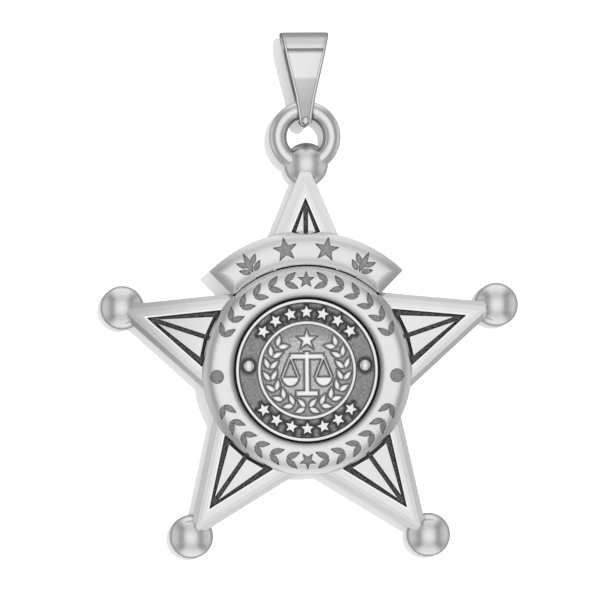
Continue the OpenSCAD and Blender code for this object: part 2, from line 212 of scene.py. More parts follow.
def smooth_step(low, high, value):
    t = np.clip((value - low) / (high - low), 0.0, 1.0)
    return t * t * (3 - 2 * t)


def turned(x, y, degrees):
    a = math.radians(degrees)
    return x * math.cos(a) - y * math.sin(a), x * math.sin(a) + y * math.cos(a)


# Flat motifs. Each gives how far a point lies inside the shape, in millimetres.

def leaf_depth(x, y, length, width):
    t = np.clip(x / length, 0.0, 1.0)
    half = width / 2 * np.sin(math.pi * t ** 0.8)
    inside = (half - np.abs(y)) * 0.85
    return np.where((x < 0) | (x > length), -np.hypot(np.maximum(-x, x - length), y), inside)


def star_depth(x, y, radius, inner=0.42):
    step = math.pi / ARMS
    angle = np.arctan2(x, y)
    folded = np.abs((angle + step) % (2 * step) - step)
    reach = np.hypot(x, y)
    px, py = reach * np.cos(folded), reach * np.sin(folded)
    corner = np.array([radius * inner * math.cos(step), radius * inner * math.sin(step)])
    along = corner - np.array([radius, 0.0])
    along /= np.linalg.norm(along)
    return along[0] * py - along[1] * (px - radius)


def disc_depth(x, y, radius):
    return radius - np.hypot(x, y)


def box_depth(x, y, half_x, half_y):
    return np.minimum(half_x - np.abs(x), half_y - np.abs(y))


def pan_depth(x, y, beam_y, pan_y, half):
    """A balance's pan: a half disc under a flat line, hung from the beam by two cords."""
    bowl = np.minimum(half - np.hypot(x, y - pan_y), pan_y + 0.03 - y)
    share = np.clip((beam_y - y) / (beam_y - pan_y), 0.0, 1.0)
    cord = 0.055 - np.abs(np.abs(x) - share * half) * 0.9
    cord = np.where((y > beam_y) | (y < pan_y), -1.0, cord)
    return np.maximum(bowl, cord)


class Relief:
    """Collects motifs over a set of points, each placed by a middle, a turn and a mirror."""

    def __init__(self, x, y):
        self.x, self.y = x, y
        self.depth = np.full(x.shape, -9.0)

    def add(self, at, turn, reach, depth, mirror=1, *sizes):
        near = np.hypot(self.x - at[0], self.y - at[1]) < reach
        if not near.any():
            return
        lx, ly = turned(self.x[near] - at[0], self.y[near] - at[1], -turn)
        found = depth(lx, ly * mirror, *sizes)
        self.depth[near] = np.maximum(self.depth[near], found)


def leaf_pairs(relief, reach, first, step, count, length, width, spread, sides=((1, 1),)):
    """Pairs of leaves along a circle, each growing onward along it, mirrored to the given sides."""
    for i in range(count):
        angle = first + i * step
        base = turned(reach, -length / 2, angle)
        for side in (-1, 1):
            dx, dy = turned(0.0, side * width * 0.12, angle + 90)
            for mx, my in sides:
                at = ((base[0] + dx) * mx, (base[1] + dy) * my)
                way = angle + 90 + side * spread
                way = way if mx > 0 else 180 - way
                way = way if my > 0 else -way
                relief.add(at, way, length * 1.3, leaf_depth, 1, length, width)


# Materials

def add_node(tree, kind, inputs=None, **settings):
    node = tree.nodes.new(kind)
    for key, value in settings.items():
        setattr(node, key, value)
    for key, value in (inputs or {}).items():
        if isinstance(value, bpy.types.NodeSocket):
            tree.links.new(value, node.inputs[key])
        else:
            node.inputs[key].default_value = value
    return node


def calc(tree, operation, a, b=0.0):
    return add_node(tree, "ShaderNodeMath", {0: a, 1: b}, operation=operation).outputs[0]


def spread_value(tree, value, low, high, to_low=0.0, to_high=1.0, smooth=False):
    node = add_node(tree, "ShaderNodeMapRange",
                    {"Value": value, "From Min": low, "From Max": high, "To Min": to_low, "To Max": to_high},
                    interpolation_type="SMOOTHSTEP" if smooth else "LINEAR")
    return node.outputs[0]


def noise(tree, place, feature_mm, detail=3.0, stretch=None, turn=0.0):
    """Noise between 0 and 1 whose features are about the given size on the object."""
    scale = 1.0 / (feature_mm * MM)
    if stretch:
        mapped = add_node(tree, "ShaderNodeMapping",
                          {"Vector": place, "Rotation": (0, 0, math.radians(turn)), "Scale": stretch})
        place = mapped.outputs[0]
    node = add_node(tree, "ShaderNodeTexNoise", {"Vector": place, "Scale": scale, "Detail": detail})
    return node.outputs[0]


def mix_value(tree, factor, a, b):
    node = add_node(tree, "ShaderNodeMix", {0: factor, 2: a, 3: b}, data_type="FLOAT")
    return node.outputs[0]


def mix_colour(tree, factor, a, b):
    node = tree.nodes.new("ShaderNodeMix")
    node.data_type = "RGBA"
    for key, value in ((0, factor), (6, a), (7, b)):
        if isinstance(value, bpy.types.NodeSocket):
            tree.links.new(value, node.inputs[key])
        else:
            node.inputs[key].default_value = value
    return node.outputs[2]


def grey(value):
    return (value, value, value * 0.995, 1.0)


def silver(name, tone=0.87, rough=0.2, patina_and_shade="", matte="", shade="", crevice=0.0, patina_tone=0.03,
           matte_tone=0.2, cloud_at=None):
    """Polished silver with fine scratches. Three arguments name the mesh's own masks: the first turns it to
    dark patina, real oxide on some pieces and painted shade on others; matte to a grained, frosted ground;
    shade to darker silver, a painted shade.
    crevice is the width of the gaps that an occlusion mask darkens towards patina, partly oxide and partly
    painted shade.
    cloud_at gives the middle, the reach and the strength of one soft cloud of painted shade."""
    material = bpy.data.materials.new(name)
    material.use_nodes = True
    tree = material.node_tree
    shader = tree.nodes["Principled BSDF"]
    place = add_node(tree, "ShaderNodeTexCoord").outputs["Object"]

    cloud = noise(tree, place, 1.4, 3.0)
    tarnish = noise(tree, place, 4.5, 2.0)
    hairlines = noise(tree, place, 0.35, 2.0, stretch=(0.12, 1.0, 1.0), turn=28)
    crossing = noise(tree, place, 0.3, 2.0, stretch=(1.0, 0.1, 1.0), turn=-17)
    grain = noise(tree, place, 0.075, 2.0)
    speckle = noise(tree, place, 0.16, 3.0)

    colour = mix_colour(tree, spread_value(tree, tarnish, 0.35, 0.75), grey(tone), grey(tone * 0.955))
    roughness = spread_value(tree, cloud, 0.3, 0.7, rough * 0.85, rough * 1.2)
    height = calc(tree, "ADD", calc(tree, "MULTIPLY", hairlines, 0.5), calc(tree, "MULTIPLY", crossing, 0.5))

    if cloud_at:
        middle, reach, strength = cloud_at
        middle = tuple(v * MM for v in middle)
        away = add_node(tree, "ShaderNodeVectorMath", {0: place, 1: middle}, operation="DISTANCE")
        away = calc(tree, "ADD", away.outputs["Value"], calc(tree, "MULTIPLY", cloud, 0.8 * MM))
        mask = spread_value(tree, away, 0.4 * MM, reach * MM, strength, 0.0, smooth=True)
        colour = mix_colour(tree, mask, colour, grey(0.0))
    # The shade mask darkens the silver: painted shade.
    if shade:
        mask = add_node(tree, "ShaderNodeAttribute", attribute_name=shade).outputs["Fac"]
        colour = mix_colour(tree, mask, colour, grey(tone * 0.4))
    if matte:
        mask = add_node(tree, "ShaderNodeAttribute", attribute_name=matte).outputs["Fac"]
        dull = spread_value(tree, calc(tree, "ADD", grain, calc(tree, "MULTIPLY", speckle, 0.6)),
                            0.55, 1.05, matte_tone * 0.7, matte_tone * 1.35)
        dull_colour = add_node(tree, "ShaderNodeCombineColor", {0: dull, 1: dull, 2: dull}).outputs[0]
        colour = mix_colour(tree, mask, colour, dull_colour)
        roughness = mix_value(tree, mask, roughness, 0.55)
        height = mix_value(tree, mask, height, calc(tree, "MULTIPLY", grain, 6.0))
    # The patina mask: real oxide on some pieces, painted shade on others.
    if patina_and_shade:
        mask = add_node(tree, "ShaderNodeAttribute", attribute_name=patina_and_shade).outputs["Fac"]
        dark = spread_value(tree, speckle, 0.3, 0.75, patina_tone * 0.5, patina_tone * 2.2)
        dark_colour = add_node(tree, "ShaderNodeCombineColor", {0: dark, 1: dark, 2: dark}).outputs[0]
        colour = mix_colour(tree, mask, colour, dark_colour)
        roughness = mix_value(tree, mask, roughness, 0.6)
        height = mix_value(tree, mask, height, calc(tree, "MULTIPLY", grain, 5.0))
    # Where the surface is hemmed in it is darkened towards patina: partly oxide, partly painted shade.
    if crevice:
        open_air = add_node(tree, "ShaderNodeAmbientOcclusion", {"Distance": crevice * MM}, samples=6)
        hidden = spread_value(tree, open_air.outputs["AO"], 0.25, 0.8, 1.0, 0.0)
        colour = mix_colour(tree, calc(tree, "MULTIPLY", hidden, 0.85), colour, grey(patina_tone * 1.5))

    bump = add_node(tree, "ShaderNodeBump", {"Strength": 0.35, "Distance": 0.004 * MM, "Height": height})
    tree.links.new(colour, shader.inputs["Base Color"])
    tree.links.new(roughness, shader.inputs["Roughness"])
    tree.links.new(bump.outputs[0], shader.inputs["Normal"])
    shader.inputs["Metallic"].default_value = 1.0
    return material


def patina(name, tone=0.075):
    """The dark, grained oxide that fills the grooves, darkest along their walls."""
    material = bpy.data.materials.new(name)
    material.use_nodes = True
    tree = material.node_tree
    shader = tree.nodes["Principled BSDF"]
    place = add_node(tree, "ShaderNodeTexCoord").outputs["Object"]
    speckle = noise(tree, place, 0.11, 3.0)
    shade = add_node(tree, "ShaderNodeAmbientOcclusion", {"Distance": 0.16 * MM}, samples=6).outputs["AO"]
    dark = calc(tree, "MULTIPLY", spread_value(tree, speckle, 0.38, 0.68, tone * 0.3, tone * 2.4),
                spread_value(tree, shade, 0.4, 0.75, 0.12, 1.0))
    colour = add_node(tree, "ShaderNodeCombineColor", {0: dark, 1: dark, 2: dark}).outputs[0]
    bump = add_node(tree, "ShaderNodeBump", {"Strength": 0.6, "Distance": 0.02 * MM, "Height": speckle})
    tree.links.new(colour, shader.inputs["Base Color"])
    tree.links.new(spread_value(tree, speckle, 0.3, 0.7, 0.45, 0.7), shader.inputs["Roughness"])
    tree.links.new(bump.outputs[0], shader.inputs["Normal"])
    shader.inputs["Metallic"].default_value = 0.6
    return material


# The star's silver takes a soft cloud of painted shade over the left arm.
star_silver = silver("star silver", rough=0.2, crevice=0.22, cloud_at=LEFT_ARM_SHADE_CLOUD)
# A brighter silver for the rims beside the grooves: a painted highlight.
highlight_silver = silver("highlight silver", tone=0.99, rough=0.14)
groove_patina = patina("groove patina")
ball_silver = silver("ball silver", rough=0.16, patina_and_shade="patina_and_shade", matte="frost", crevice=0.3, matte_tone=0.9)
banner_silver = silver("banner silver", rough=0.2, matte="matte", crevice=0.12, matte_tone=0.42)
band_silver = silver("medallion silver", rough=0.2, matte="matte", patina_and_shade="patina_and_shade", crevice=0.1,
                     matte_tone=0.37)
seal_silver = silver("seal silver", tone=0.97, rough=0.24, matte="matte", patina_and_shade="patina_and_shade", matte_tone=0.37)
centre_silver = silver("seal centre silver", tone=0.99, rough=0.24, matte="matte", patina_and_shade="patina_and_shade",
                       matte_tone=0.7)
wire_silver = silver("wire silver", rough=0.12, patina_and_shade="patina_and_shade", shade="shade", crevice=0.25)
strip_silver = silver("strip silver", rough=0.15, patina_and_shade="patina_and_shade", shade="shade", crevice=0.2)
# Brighter than the rest of the silver: a painted highlight on the bead.
bead_silver = silver("bead silver", tone=0.99, rough=0.1, patina_and_shade="patina_and_shade")


# Star plate. Its materials, in the order of its slots.
SILVER, GROOVE, RIM = range(3)


def unit(v):
    return v / np.linalg.norm(v)


def left_of(v):
    return np.array([-v[1], v[0]])


def meet(p, d, q, e):
    """Where the line through p along d meets the line through q along e."""
    w = q - p
    return p + d * ((w[0] * e[1] - w[1] * e[0]) / (d[0] * e[1] - d[1] * e[0]))


def at_radius(p, d, radius):
    along = p @ d
    return p + d * (math.sqrt(along * along - p @ p + radius * radius) - along)


def corner(i):
    """Corner 2i is where the edges of arm i meet, corner 2i + 1 the notch after it."""
    reach = TIP_REACH if i % 2 == 0 else NOTCH_REACH
    angle = math.pi / 2 + i * math.pi / ARMS
    return np.array([reach * math.cos(angle) * STAR_BREADTH, reach * math.sin(angle)])


def edge_way(i):
    return unit(corner(i + 1) - corner(i))


def edge_inset(i, inset):
    """The groove side of the border lies further in along the two lowest edges, whose arms share
    the shift with their other edges."""
    from_foot = abs(i % (2 * ARMS) - ARMS + 0.5)
    if inset <= SLOPE_WIDTH or from_foot > 2:
        return inset
    return inset + (LOWER_SHIFT if from_foot < 1 else -LOWER_SHIFT / 2)


def inset_corner(i, inset):
    before, after = edge_way(i - 1), edge_way(i)
    return meet(corner(i - 1) + left_of(before) * edge_inset(i - 1, inset), before,
                corner(i) + left_of(after) * edge_inset(i, inset), after)


def blunt_tip(arm, inset):
    """The two corners of an arm's blunt end, or its sharp corner twice where the end runs out."""
    tip = inset_corner(2 * arm, inset)
    outward = unit(corner(2 * arm))
    reach = np.linalg.norm(corner(2 * arm)) / TIP_REACH * TIP_END - inset
    if tip @ outward <= reach + 0.01:
        return [tip, tip]
    across = left_of(outward)
    return [meet(tip, edge_way(2 * arm - 1), outward * reach, across),
            meet(tip, edge_way(2 * arm), outward * reach, across)]


def outline(inset):
    points = []
    for arm in range(ARMS):
        points += blunt_tip(arm, inset) + [inset_corner(2 * arm + 1, inset)]
    return points


def half_panel(arm, side):
    """The three corners of the raised panel on one side of an arm's middle groove."""
    tip = 2 * (arm + ARMS)
    apex = inset_corner(tip, BORDER_WIDTH + GROOVE_WIDTH / 2)
    outward = unit(corner(tip))
    edge = np.array(turned(*(edge_way(tip) if side > 0 else -edge_way(tip - 1)), side * GROOVE_FLARE))
    beside = apex + left_of(outward) * (side * GROOVE_WIDTH / 2)
    points = [meet(apex, edge, beside, outward), at_radius(apex, -edge, PANEL_START),
              at_radius(beside, outward, PANEL_START)]
    return points if side < 0 else points[::-1]


def star_plate():
    """The bevelled plate: walls, bevels, borders, grooves and the panels between them."""
    work = bmesh.new()

    def ring(inset, z, raised=lambda i: 0.0):
        verts = []
        for i, point in enumerate(outline(inset)):
            same = i % 3 == 1 and np.allclose(point, verts[-1].co[:2], atol=1e-6)
            verts.append(verts[-1] if same else work.verts.new((*point, z + raised(i))))
        return verts

    def worn(i):
        """How much the bevel's foot is raised at a point of the outline. Of each arm's three points, the
        first ends one edge, the second starts one and the third is shared by two."""
        arm, place = divmod(i, 3)
        edges = (2 * arm - 1,), (2 * arm,), (2 * arm, 2 * arm + 1)
        return max((WORN_BEVELS.get(edge % (2 * ARMS), 0.0) for edge in edges[place]), key=abs)

    def strip(lower, upper, material=SILVER):
        for i in range(len(lower)):
            j = (i + 1) % len(lower)
            points = list(dict.fromkeys((lower[i], lower[j], upper[j], upper[i])))
            if len(points) > 2:
                work.faces.new(points).material_index = material

    foot = ring(BACK_CHAMFER, 0.0)
    wall_low = ring(0.0, BACK_CHAMFER)
    wall_top = ring(0.0, SIDE_TOP, worn)
    bevel_top = ring(BEVEL_WIDTH, BEVEL_TOP)
    slope_top = ring(SLOPE_WIDTH, PLATE_TOP)
    highlight_edge = ring(BORDER_WIDTH - HIGHLIGHT_RIM, PLATE_TOP)
    border_top = ring(BORDER_WIDTH, PLATE_TOP)
    groove_edge = ring(BORDER_WIDTH, GROOVE_FLOOR)
    work.faces.new(foot[::-1])
    strip(foot, wall_low)
    strip(wall_low, wall_top)
    strip(wall_top, bevel_top)
    strip(bevel_top, slope_top)
    strip(slope_top, highlight_edge)
    # The rim beside the groove takes the brighter silver: a painted highlight.
    strip(highlight_edge, border_top, RIM)
    strip(border_top, groove_edge, GROOVE)
    work.faces.new(list(dict.fromkeys(groove_edge))).material_index = GROOVE
    for arm in range(ARMS):
        for side in (-1, 1):
            points = half_panel(arm, side)
            low = [work.verts.new((*p, GROOVE_FLOOR - PANEL_SINK)) for p in points]
            high = [work.verts.new((*p, PLATE_TOP)) for p in points]
            panel = work.faces.new(high)
            # Each panel's rim takes the brighter silver: a painted highlight.
            rim = bmesh.ops.inset_individual(work, faces=[panel], thickness=HIGHLIGHT_RIM)["faces"]
            for face in rim:
                face.material_index = RIM
            for i in range(3):
                j = (i + 1) % 3
                work.faces.new((low[i], low[j], high[j], high[i])).material_index = GROOVE
    work.normal_update()
    sharp = [e for e in work.edges if len(e.link_faces) == 2 and e.calc_face_angle() > math.radians(8)]
    bmesh.ops.bevel(work, geom=sharp, offset=EDGE_SOFTENING, segments=2, profile=0.6, affect="EDGES",
                    clamp_overlap=False, material=-1)
    bmesh.ops.transform(work, matrix=Matrix.Scale(MM, 4), verts=work.verts)
    mesh = bpy.data.meshes.new("star_plate")
    work.to_mesh(mesh)
    work.free()
    mesh.shade_smooth()
    obj = bpy.data.objects.new("star_plate", mesh)
    bpy.context.scene.collection.objects.link(obj)
    for material in (star_silver, groove_patina, highlight_silver):
        mesh.materials.append(material)
    weighted = obj.modifiers.new("weighted normals", "WEIGHTED_NORMAL")
    weighted.weight = 90
    weighted.keep_sharp = False
    return obj


def ball_tips():
    """Five balls with a flat foot, turned as one profile."""
    low = -math.asin(BALL_Z / BALL_RADIUS)
    angles = np.linspace(low, math.pi / 2, 30)[:-1]
    foot_radius = BALL_RADIUS * math.cos(low)
    profile = [(foot_radius * s, 0.0) for s in (0.5, 0.96)]
    profile += [(BALL_RADIUS * math.cos(a), BALL_Z + BALL_RADIUS * math.sin(a)) for a in angles]
    around = np.linspace(0, 2 * math.pi, 72, endpoint=False)
    vertices, faces = [], []
    for arm in range(ARMS):
        angle = math.pi / 2 + arm * 2 * math.pi / ARMS
        cx, cy = BALL_REACH * math.cos(angle) * STAR_BREADTH + BALL_SHIFTS[arm], BALL_REACH * math.sin(angle)
        start = len(vertices)
        vertices.append((cx, cy, 0.0))
        for r, z in profile:
            vertices += [(cx + r * math.cos(a), cy + r * math.sin(a), z) for a in around]
        vertices.append((cx, cy, BALL_Z + BALL_RADIUS))
        top = len(vertices) - 1
        n = len(around)
        faces += [(start, start + 1 + (k + 1) % n, start + 1 + k) for k in range(n)]
        faces += (grid_faces(len(profile), n, wrap_columns=True) + start + 1).tolist()
        last = start + 1 + (len(profile) - 1) * n
        faces += [(last + k, last + (k + 1) % n, top) for k in range(n)]
    obj = new_object("ball_tips", vertices, faces, materials=[ball_silver])
    x, y = np.array(vertices).T[:2]
    up = y - BALL_REACH
    # Painted shade on the top ball's upper edge inside the ring, where the ring shades it.
    inside_ring = smooth_step(*BALL_RING_SHADE, up + BALL_RING_SHADE_CURVE * (x - BALL_SHIFTS[0]) ** 2) * (up > 0)
    set_attribute(obj, "patina_and_shade", 0.6 * inside_ring)
    set_attribute(obj, "frost", 0.5 * smooth_step(*BALL_FROST, up))
    obj.data.set_sharp_from_angle(angle=math.radians(40))
    return obj


# Medallion

def arc(middle, radius, start, end, count):
    angles = np.radians(np.linspace(start, end, count))
    return [(middle[0] + radius * math.cos(a), middle[1] + radius * math.sin(a)) for a in angles]


def turned_piece(name, section, columns, shape=None, materials=()):
    """A closed section of (radius, z) points turned about Z. shape(x, y, r, z) gives a change in z
    and the masks for the top."""
    section = np.array(section)
    angle = np.linspace(0, 2 * math.pi, columns, endpoint=False)
    r = np.repeat(section[:, :1], columns, 1)
    z = np.repeat(section[:, 1:], columns, 1)
    x, y = r * np.cos(angle), r * np.sin(angle)
    masks = {}
    if shape:
        change, masks = shape(x, y, r, z)
        z = z + change
    vertices = np.stack([x, y, z], -1).reshape(-1, 3)
    faces = grid_faces(len(section), columns, wrap_rows=True, wrap_columns=True)
    obj = new_object(name, vertices, faces.tolist(), materials=materials)
    for key, values in masks.items():
        set_attribute(obj, key, values)
    obj.data.set_sharp_from_angle(angle=math.radians(50))
    return obj


QUARTERS = ((1, 1), (-1, 1), (1, -1), (-1, -1))


def medallion():
    """The round band with its garlands, stars and dots sunk in it."""
    start, end = BAND_IN + INNER_SHOULDER, BAND_OUT - OUTER_SHOULDER
    steep_in = math.degrees(math.asin(INNER_SHOULDER / INNER_ROUND))
    steep_out = math.degrees(math.asin(OUTER_SHOULDER / OUTER_ROUND))
    section = [(BAND_IN, SEAT_Z), (BAND_IN, BAND_TOP - 0.3)]
    section += arc((start, BAND_TOP - INNER_ROUND), INNER_ROUND, 90 + steep_in, 90, 13)
    section += [(r, BAND_TOP) for r in np.arange(start + 0.027, end - 0.01, 0.027)]
    section += arc((end, BAND_TOP - OUTER_ROUND), OUTER_ROUND, 90, 90 - steep_out, 40)
    section += [(BAND_OUT, SEAT_Z + 0.04), (BAND_OUT - 0.04, SEAT_Z), (GARLAND_REACH, SEAT_Z)]

    def shape(x, y, r, z):
        relief = Relief(x, y)
        leaf_pairs(relief, GARLAND_REACH, LEAVES_START, LEAVES_STEP, LEAF_PAIRS, LEAF_LENGTH, LEAF_WIDTH,
                   LEAF_SPREAD, QUARTERS)
        drop = math.radians(DOT_DROP)
        for side in (1, -1):
            relief.add((0, side * GARLAND_REACH), 0, BAND_STAR * 1.4, star_depth, side, BAND_STAR)
            at = (side * GARLAND_REACH * math.cos(drop), -GARLAND_REACH * math.sin(drop))
            relief.add(at, 0, DOT_RADIUS * 1.5, disc_depth, 1, DOT_RADIUS)
        top = z > BAND_TOP - 0.4
        sunk = smooth_step(-0.018, 0.022, relief.depth) * top
        # Painted shade on the band's inner slope, where it faces the seal's taller rim.
        patina_and_shade = smooth_step(BAND_IN + 0.17, BAND_IN - 0.01, r) * 0.7
        return -LEAF_SINK * sunk, {"matte": sunk, "patina_and_shade": patina_and_shade}

    return turned_piece("medallion_band", section, 1024, shape, [band_silver])


# Seal

def seal_ring():
    """The seal's rim and inner ring, with the two rows of stars and the beads between them."""
    slope = RIM_WIDTH * 0.1
    section = [(CENTRE_OUT, SEAL_GROUND - 0.12)]
    ring_shoulder = SEAL_GROUND + RELIEF - RIM_ROUND
    rim_shoulder = RIM_TOP - RIM_ROUND
    section += [(CENTRE_OUT, ring_shoulder)]
    section += arc((CENTRE_OUT + RIM_ROUND, ring_shoulder), RIM_ROUND, 180, 90, 4)[1:]
    section += arc((RING_OUT - RIM_ROUND, ring_shoulder), RIM_ROUND, 90, 0, 4)
    ground_out = SEAL_OUT - RIM_WIDTH
    section += [(r, SEAL_GROUND) for r in np.arange(RING_OUT + 0.004, ground_out - 0.002, 0.026)]
    section += [(ground_out, SEAL_GROUND), (ground_out + slope, rim_shoulder)]
    section += arc((ground_out + slope + RIM_ROUND, rim_shoulder), RIM_ROUND, 180, 90, 4)[1:]
    section += arc((SEAL_OUT - RIM_ROUND, rim_shoulder), RIM_ROUND, 90, 0, 4)
    section += [(SEAL_OUT, RIM_TOP - 0.2), (SEAL_OUT, SEAT_Z), (CENTRE_OUT, SEAT_Z)]

    def shape(x, y, r, z):
        relief = Relief(x, y)
        star = (ground_out - RING_OUT) * 0.42
        for middle in (90, -90):
            for i in range(ROW_COUNT):
                angle = middle + (i - (ROW_COUNT - 1) / 2) * ROW_STEP
                at = turned(ROW_REACH, 0, angle)
                relief.add(at, angle - middle, star * 1.3, star_depth, 1, star, 0.46)
        ground = (z > SEAL_GROUND - 0.01) & (z < SEAL_GROUND + 0.01)
        raised = smooth_step(-0.02, 0.03, relief.depth) * ground
        change = RELIEF * raised
        bead = np.full(x.shape, -9.0)
        rise = math.radians(BEAD_RISE)
        for side in (-1, 1):
            away = np.hypot(x - side * ROW_REACH * math.cos(rise), y - ROW_REACH * math.sin(rise))
            bead = np.maximum(bead, BEAD_HALF - away)
        dome = np.sqrt(np.clip(1 - (1 - np.maximum(bead, 0) / BEAD_HALF) ** 2, 0, 1)) * (bead > 0) * ground
        change = np.maximum(change, BEAD_HEIGHT * dome)
        raised = np.maximum(raised, smooth_step(-0.01, 0.02, bead) * ground)
        depth = np.maximum(relief.depth, bead)
        close = smooth_step(-0.3, -0.04, depth) * ground
        walls = smooth_step(0.1, 0.02, r - RING_OUT) + smooth_step(0.1, 0.02, ground_out - r)
        matte = ground * (1 - raised)
        patina_and_shade = np.clip(np.maximum(close * 0.8, walls * 0.7), 0, 1) * (1 - raised) * ground
        # Painted shade on the seal's outer side wall, in the gap against the band.
        side_wall = (r > SEAL_OUT - 0.005) & (z < RIM_TOP - 0.03)
        return change, {"matte": matte, "patina_and_shade": np.maximum(patina_and_shade, side_wall * 0.3)}

    return turned_piece("seal_ring", section, 768, shape, [seal_silver])


def disc_grid(count, radius):
    """A square grid pulled out to a disc."""
    t = np.linspace(-1, 1, count)
    a, b = np.meshgrid(t, t, indexing="ij")
    wide = np.abs(a) > np.abs(b)
    with np.errstate(divide="ignore", invalid="ignore"):
        angle = np.where(wide, math.pi / 4 * (b / a), math.pi / 2 - math.pi / 4 * (a / b))
    reach = np.where(wide, a, b)
    angle = np.nan_to_num(angle)
    return reach * np.cos(angle) * radius, reach * np.sin(angle) * radius


def seal_centre():
    """The seal's middle: a wreath of two branches round a balance, with a star above."""
    count = 180
    x, y = disc_grid(count, CENTRE_OUT + 0.05)
    size = CENTRE_OUT
    leaves, balance = Relief(x, y), Relief(x, y)
    leaf_pairs(leaves, size * 0.8, -78, 18, 8, size * 0.26, size * 0.12, 34, ((1, 1), (-1, 1)))
    half = size * 0.055
    post_low, post_high = -size * 0.5, size * 0.4
    beam_y, beam_half, pan_y = size * 0.3, size * 0.36, -size * 0.16
    balance.add((0, (post_low + post_high) / 2), 0, 9, box_depth, 1, half, (post_high - post_low) / 2)
    balance.add((0, post_low), 0, 9, box_depth, 1, size * 0.24, half)
    balance.add((0, beam_y), 0, 9, box_depth, 1, beam_half, half)
    for side in (-1, 1):
        balance.add((side * beam_half, 0), 0, 9, pan_depth, 1, beam_y, pan_y, size * 0.18)
    balance.add((0, size * 0.66), 0, 0.9, star_depth, 1, size * 0.22)
    depth = np.maximum(leaves.depth, balance.depth)
    raised = smooth_step(-0.025, 0.03, depth)
    pillow = np.sqrt(np.clip(depth / 0.07, 0, 1))
    z = CENTRE_GROUND + RELIEF * (0.45 * raised + 0.55 * pillow)
    vertices = np.stack([x, y, z], -1).reshape(-1, 3)
    faces = grid_faces(count, count)[:, ::-1]
    obj = new_object("seal_centre", vertices, faces.tolist(), materials=[centre_silver])
    r = np.hypot(x, y)
    close = np.maximum(smooth_step(-0.15, -0.02, depth), 0.5 * smooth_step(0.6, 0.95, r / CENTRE_OUT))
    wall = smooth_step(0.12, 0.02, CENTRE_OUT - r)
    set_attribute(obj, "matte", 1 - raised)
    set_attribute(obj, "patina_and_shade", np.clip(np.maximum(close * 0.8, wall * 0.7), 0, 1) * (1 - raised))
    return obj


# Banner

def rounding(profile, distance):
    """How far a rounded edge has fallen below the face at a distance in from the edge."""
    known, steepness = np.array(profile, float).T
    steps = np.linspace(0, known[-1], 400)
    slope = np.tan(np.radians(np.interp(steps, known, steepness)))
    fall = np.cumsum(slope[::-1])[::-1] * (steps[1] - steps[0])
    return np.interp(distance, steps, fall)


def add_sprig(relief, turn):
    """A sprig of five leaves on the banner, turned about the badge's middle."""
    base = turned(0, BANNER_MIDDLE - SPRIG_HEIGHT / 2, turn)
    relief.add(base, turn + 90, 1.8, leaf_depth, 1, SPRIG_HEIGHT, SPRIG_HEIGHT * 0.28)
    for way in (-1, 1):
        for level in (0, 1):
            at = turned(way * SPRIG_HEIGHT * 0.12, BANNER_MIDDLE + SPRIG_HEIGHT * (level * 0.32 - 0.48), turn)
            relief.add(at, turn + 90 - way * (52 - level * 8), 1.2, leaf_depth, 1,
                       SPRIG_HEIGHT * 0.54, SPRIG_HEIGHT * 0.24)


def banner():
    """The curved banner, rounded at all its edges, with stars and sprigs sunk in its face."""
    columns, rows = 440, 74
    angle = np.linspace(math.pi / 2 - BANNER_HALF, math.pi / 2 + BANNER_HALF, columns)
    reach = np.linspace(BANNER_IN, BANNER_OUT, rows)
    r, a = np.meshgrid(reach, angle, indexing="ij")
    x, y = r * np.cos(a), r * np.sin(a)
    from_end = r * np.sin(np.minimum(a - angle[0], angle[-1] - a))
    drop = np.maximum(rounding(BANNER_OUTER, BANNER_OUT - r), rounding(BANNER_INNER, r - BANNER_IN))
    z = BANNER_TOP - np.maximum(drop, rounding(BANNER_ENDS, from_end))
    relief = Relief(x, y)
    for side in (-1, 1):
        at = turned(0, BANNER_MIDDLE, side * BANNER_STARS)
        relief.add(at, side * BANNER_STARS, 0.9, star_depth, 1, BANNER_STAR)
        add_sprig(relief, side * BANNER_SPRIGS)
    sunk = smooth_step(-0.02, 0.025, relief.depth)
    z = z - BANNER_SINK * sunk
    top = np.stack([x, y, z], -1).reshape(-1, 3)
    rim = np.concatenate([np.arange(columns), (rows - 1) * columns + np.arange(columns)])
    row_starts = np.arange(rows) * columns
    # The points under the two long edges and under both ends
    low, first_end, last_end = (top[which] * (1, 1, 0) + (0, 0, SEAT_Z)
                                for which in (rim, row_starts, row_starts + columns - 1))
    n = len(top)
    faces = grid_faces(rows, columns).tolist()
    for j in range(columns - 1):
        faces.append((n + j, n + j + 1, j + 1, j))
        o = (rows - 1) * columns + j
        faces.append((o, o + 1, n + columns + j + 1, n + columns + j))
        faces.append((n + j, n + columns + j, n + columns + j + 1, n + j + 1))
    s, e = n + 2 * columns, n + 2 * columns + rows
    for i in range(rows - 1):
        faces.append((i * columns, (i + 1) * columns, s + i + 1, s + i))
        p, q = i * columns + columns - 1, (i + 1) * columns + columns - 1
        faces.append((p, e + i, e + i + 1, q))
    vertices = np.concatenate([top, low, first_end, last_end])
    faces = [f[::-1] for f in faces]
    obj = new_object("banner_plate", vertices, faces, materials=[banner_silver])
    set_attribute(obj, "matte", np.concatenate([sunk.ravel(), np.zeros(len(vertices) - n)]))
    obj.data.set_sharp_from_angle(angle=math.radians(50))
    return obj


# Hanging ring and bail

